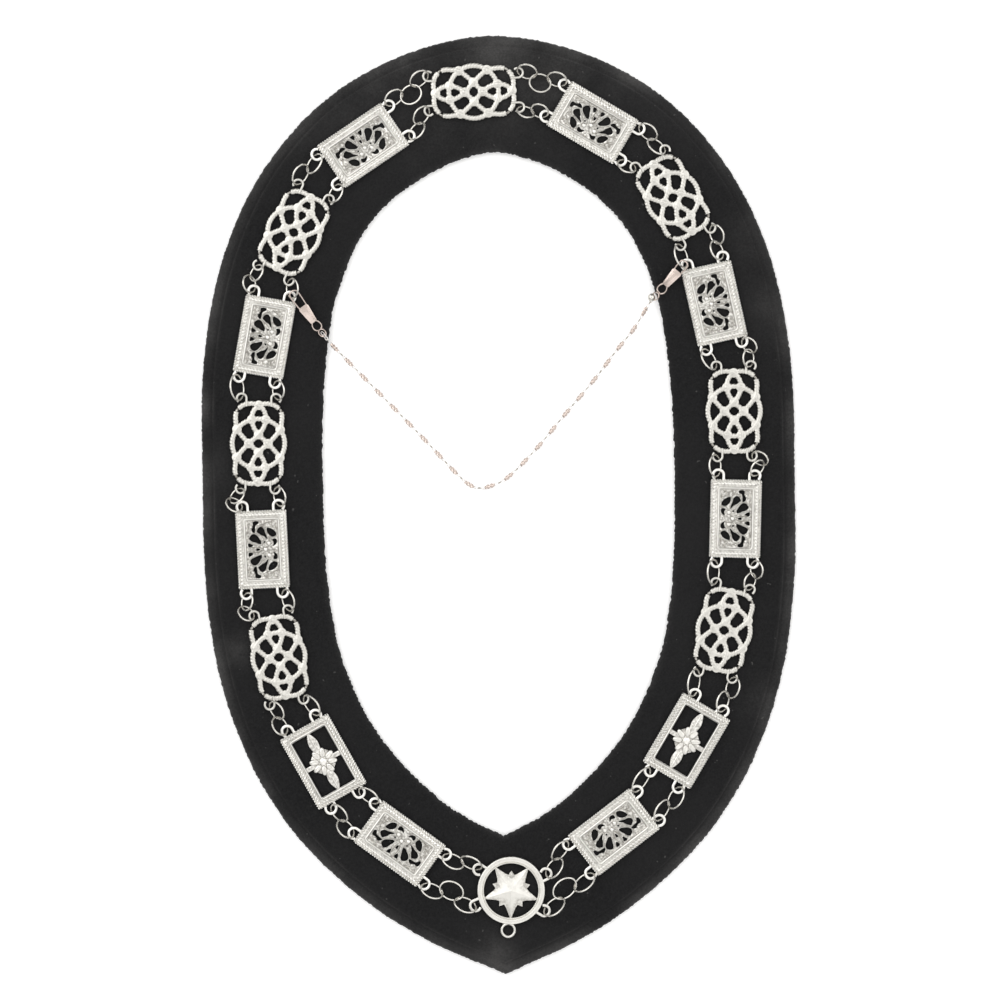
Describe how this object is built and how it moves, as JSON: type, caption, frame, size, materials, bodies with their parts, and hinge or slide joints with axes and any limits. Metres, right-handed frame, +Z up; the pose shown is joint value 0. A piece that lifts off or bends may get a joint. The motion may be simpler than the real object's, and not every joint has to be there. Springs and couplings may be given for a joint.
{
  "type": "chain collar",
  "caption": "Ceremonial chain collar laid flat: pierced and interlaced metal plates linked by jump rings on a padded velvet band with an open neck, and a thin safety chain across it.",
  "frame": {"origin": "middle of the bounding box, on the flat back face that lies on the surface", "axes": "+X across the collar to the right of the picture, +Y up its length to the nape, +Z up from the back to the plates"},
  "size_m": [0.2966, 0.47, 0.0142],
  "materials": {
    "velvet": "charcoal black velvet pile, slightly greyed at the edges",
    "silver": "bright silver plate, slightly warm, darker in the recesses",
    "rose_silver": "pinkish silver plate, polished"
  },
  "bodies": {
    "root": {"velvet_backing": "velvet", "knot_top": "silver", "floral_r1": "silver", "knot_r1": "silver", "floral_r2": "silver", "knot_r2": "silver", "floral_r3": "silver", "knot_r3": "silver", "emblem_r": "silver", "floral_r4": "silver", "medallion": "silver", "floral_l4": "silver", "emblem_l": "silver", "knot_l3": "silver", "floral_l3": "silver", "knot_l2": "silver", "floral_l2": "silver", "knot_l1": "silver", "floral_l1": "silver", "rings_01_outer": "silver", "rings_01_inner": "silver", "rings_02_outer": "silver", "rings_02_inner": "silver", "rings_03_outer": "silver", "rings_03_inner": "silver", "rings_04_outer": "silver", "rings_04_inner": "silver", "rings_05_outer": "silver", "rings_05_inner": "silver", "rings_06_outer": "silver", "rings_06_inner": "silver", "rings_07_outer": "silver", "rings_07_inner": "silver", "rings_08_outer": "silver", "rings_08_inner": "silver", "rings_09_outer": "silver", "rings_09_inner": "silver", "rings_10_outer": "silver", "rings_10_inner": "silver", "rings_11_outer": "silver", "rings_11_inner": "silver", "rings_12_outer": "silver", "rings_12_inner": "silver", "rings_13_outer": "silver", "rings_13_inner": "silver", "rings_14_outer": "silver", "rings_14_inner": "silver", "rings_15_outer": "silver", "rings_15_inner": "silver", "rings_16_outer": "silver", "rings_16_inner": "silver", "rings_17_outer": "silver", "rings_17_inner": "silver", "rings_18_outer": "silver", "rings_18_inner": "silver", "safety_chain": "rose_silver", "clasp_left": "rose_silver", "clasp_right": "rose_silver"}
  },
  "joints": []
}
